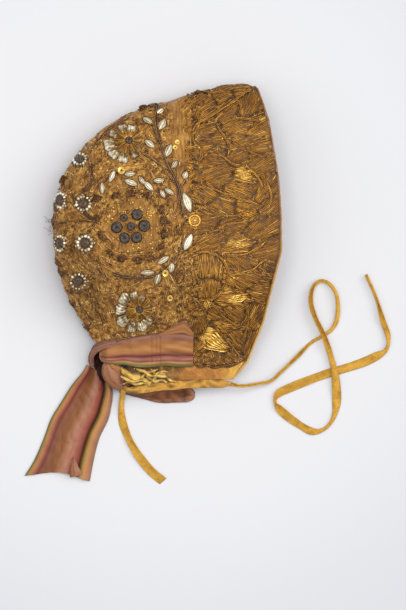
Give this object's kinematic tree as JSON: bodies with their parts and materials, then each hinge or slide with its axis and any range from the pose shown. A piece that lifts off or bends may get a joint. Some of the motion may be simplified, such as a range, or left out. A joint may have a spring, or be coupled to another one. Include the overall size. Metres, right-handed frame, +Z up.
{
  "type": "embroidered coif lying on its side",
  "caption": "Close-fitting silk coif with a metal-thread front band, raised flowers and leaves, a striped ribbon at the nape and a narrow neck tie, lying on its side.",
  "frame": {"origin": "on the floor under the middle of the coif, on the flat underside of the crown", "axes": "+X towards the face opening, +Y from the neck towards the ridge over the head, +Z up from the floor"},
  "size_m": [0.2677, 0.2907, 0.0596],
  "materials": {
    "metal_thread": "metal-thread embroidery",
    "ochre_silk": "worn silk",
    "yellow_silk": "silk ribbon",
    "striped_ribbon": "satin ribbon in pink, tan and green stripes",
    "silver": "worn silver purl and foil",
    "dark_purl": "tarnished purl",
    "gold": "gilt"
  },
  "bodies": {
    "root": {"front_band": "metal_thread", "crown": "ochre_silk", "front_binding": "yellow_silk", "neck_gathers": "yellow_silk", "neck_casing": "yellow_silk", "ribbon_band": "striped_ribbon", "ribbon_knot": "striped_ribbon", "ribbon_tail": "striped_ribbon", "ribbon_loop": "striped_ribbon", "tie_right": "yellow_silk", "tie_left": "yellow_silk", "rosette": "dark_purl", "flower_top": "silver", "flower_bottom": "silver", "small_flower_1": "silver", "small_flower_2": "silver", "small_flower_3": "silver", "small_flower_4": "silver", "small_flower_5": "silver", "small_flower_6": "silver", "leaf_01": "silver", "leaf_02": "silver", "leaf_03": "silver", "leaf_04": "silver", "leaf_05": "silver", "leaf_06": "silver", "leaf_07": "silver", "leaf_08": "silver", "leaf_09": "silver", "leaf_10": "silver", "leaf_11": "silver", "leaf_12": "silver", "leaf_13": "silver", "leaf_14": "silver", "leaf_15": "silver", "leaf_16": "silver", "leaf_17": "silver", "leaf_18": "silver", "leaf_19": "silver", "leaf_20": "silver", "leaf_21": "silver", "leaf_22": "silver", "sequin_1": "gold", "sequin_2": "gold", "sequin_3": "gold", "sequin_4": "gold", "sequin_5": "gold", "sequin_6": "gold"}
  },
  "joints": []
}
